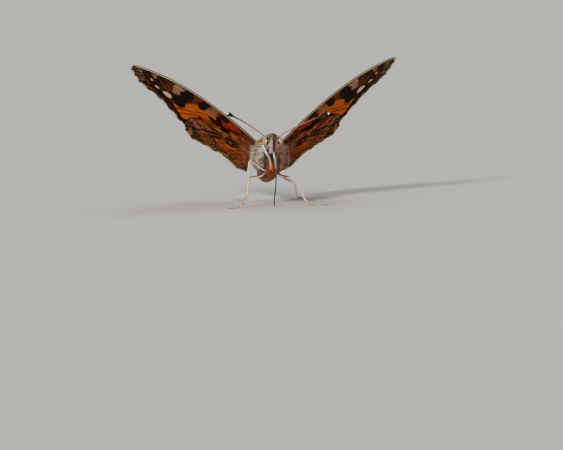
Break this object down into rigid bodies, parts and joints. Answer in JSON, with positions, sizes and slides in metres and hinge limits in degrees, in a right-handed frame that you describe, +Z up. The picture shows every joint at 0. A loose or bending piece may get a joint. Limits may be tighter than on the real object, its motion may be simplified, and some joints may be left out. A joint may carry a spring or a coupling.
{
  "type": "painted lady butterfly",
  "caption": "Life-size painted lady butterfly standing with its wings half raised and its proboscis down, as a still museum-like model.",
  "frame": {"origin": "on the floor, under the middle of the insect's box", "axes": "+Z up, the insect looks along -Y, +X is its left side"},
  "size_m": [0.05, 0.0328, 0.0263],
  "materials": {
    "fur": "short soft hair, pale grey-brown",
    "abdomen": "short brown scales in rings",
    "eye": "smooth, with a soft shine",
    "palp": "dense short scales",
    "proboscis": "dark and slightly shiny",
    "antenna": "matt, dark brown with a pale tip",
    "leg": "pale tan scales",
    "forewing": "matt scales, orange with black and white marks",
    "hindwing": "matt scales, marbled brown below and orange above"
  },
  "bodies": {
    "root": {"head": "fur", "thorax": "fur", "abdomen": "abdomen", "eye_left": "eye", "eye_right": "eye", "palp_left": "palp", "palp_right": "palp", "proboscis": "proboscis", "antenna_left": "antenna", "antenna_right": "antenna", "foreleg_left": "leg", "foreleg_right": "leg", "midleg_left": "leg", "midleg_right": "leg", "hindleg_left": "leg", "hindleg_right": "leg", "forewing_left": "forewing", "forewing_right": "forewing", "hindwing_left": "hindwing", "hindwing_right": "hindwing"}
  },
  "joints": []
}
